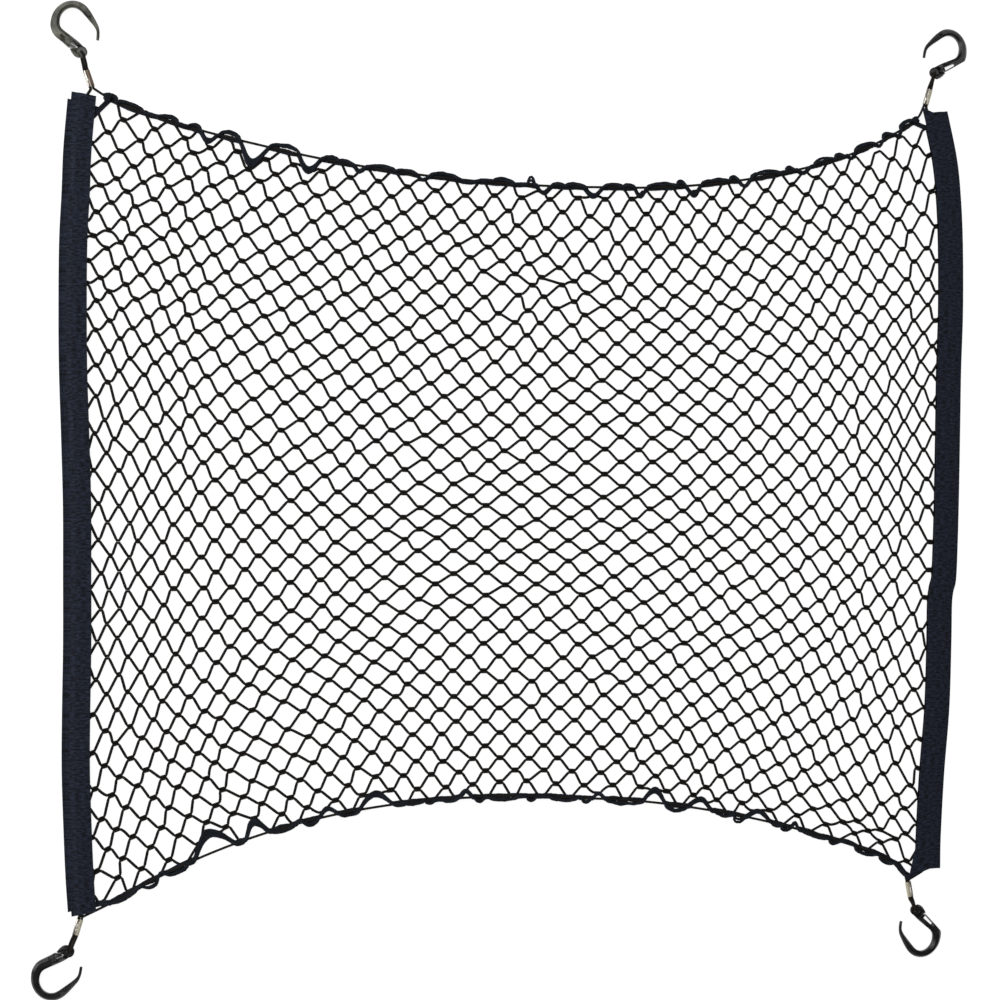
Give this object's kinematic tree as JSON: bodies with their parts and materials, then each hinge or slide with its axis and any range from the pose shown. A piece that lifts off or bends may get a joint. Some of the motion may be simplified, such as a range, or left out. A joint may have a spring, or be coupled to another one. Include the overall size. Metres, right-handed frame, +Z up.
{
  "type": "cargo net",
  "caption": "Flat elastic-edged cargo net of black diamond mesh, with a woven tape band down each side and an open hook at every corner.",
  "frame": {"origin": "middle of the laid-out net's bounding box, on the surface that it lies on", "axes": "+X from the left band to the right band, +Y from the foot to the head, +Z up out of the surface"},
  "size_m": [0.8501, 0.8718, 0.0066],
  "materials": {
    "netting": "knotless knitted black polyester netting",
    "tape": "woven navy-black tape with fine cross ribs",
    "elastic": "braid-covered black elastic cord",
    "ferrule": "nickel-plated crimped sleeve",
    "hook": "moulded grey-black nylon"
  },
  "bodies": {
    "root": {"net": "netting", "tape_left_upper": "tape", "tape_left_lower": "tape", "tape_right_upper": "tape", "tape_right_lower": "tape", "cord_top": "elastic", "cord_bottom": "elastic", "cord_top_left_band": "elastic", "cord_top_left_loop": "elastic", "ferrule_top_left": "ferrule", "hook_top_left": "hook", "cord_top_right_band": "elastic", "cord_top_right_loop": "elastic", "ferrule_top_right": "ferrule", "hook_top_right": "hook", "cord_bottom_right_band": "elastic", "cord_bottom_right_loop": "elastic", "ferrule_bottom_right": "ferrule", "hook_bottom_right": "hook", "cord_bottom_left_band": "elastic", "cord_bottom_left_loop": "elastic", "ferrule_bottom_left": "ferrule", "hook_bottom_left": "hook"}
  },
  "joints": []
}
